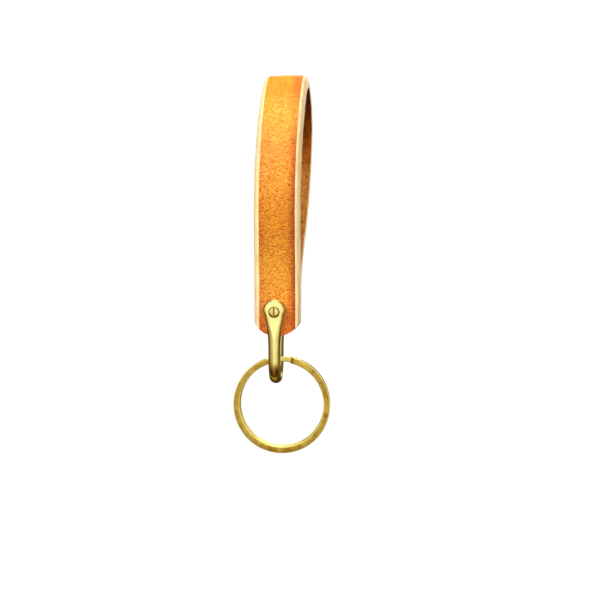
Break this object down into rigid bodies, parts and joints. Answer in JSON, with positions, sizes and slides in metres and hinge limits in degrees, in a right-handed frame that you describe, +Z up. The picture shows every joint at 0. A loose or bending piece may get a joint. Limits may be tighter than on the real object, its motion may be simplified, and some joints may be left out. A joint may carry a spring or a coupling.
{
  "type": "key fob",
  "caption": "Folded leather strap loop pinned between the eyes of a brass shackle, which carries a flat-wire split ring for keys.",
  "frame": {"origin": "inner top of the leather loop, where a hook or finger carries the fob", "axes": "+Z up along the hanging fob, +X to the right of someone facing it, +Y away from them; the screw's slotted head faces -Y"},
  "size_m": [0.0317, 0.0325, 0.1275],
  "materials": {
    "strap_leather": "satin",
    "shackle_brass": "polished",
    "screw_brass": "polished",
    "ring_brass": "satin"
  },
  "bodies": {
    "strap": {"leather_strap": "strap_leather"},
    "shackle": {"shackle": "shackle_brass"},
    "screw": {"shackle_screw": "screw_brass"},
    "ring": {"split_ring": "ring_brass"}
  },
  "joints": [
    {"name": "shackle_swing", "type": "hinge", "parent": "strap", "child": "shackle", "pos_m": [-0.00281, -0.00975, -0.0774], "axis": [0, 1, 0], "range_deg": [-90, 90]},
    {"name": "screw_withdraw", "type": "slide", "parent": "shackle", "child": "screw", "axis": [0, -1, 0], "range_m": [0, 0.0148]},
    {"name": "ring_swing", "type": "hinge", "parent": "shackle", "child": "ring", "pos_m": [-0.00281, -0.00975, -0.0929], "axis": [1, 0, 0], "range_deg": [-110, 110]}
  ]
}
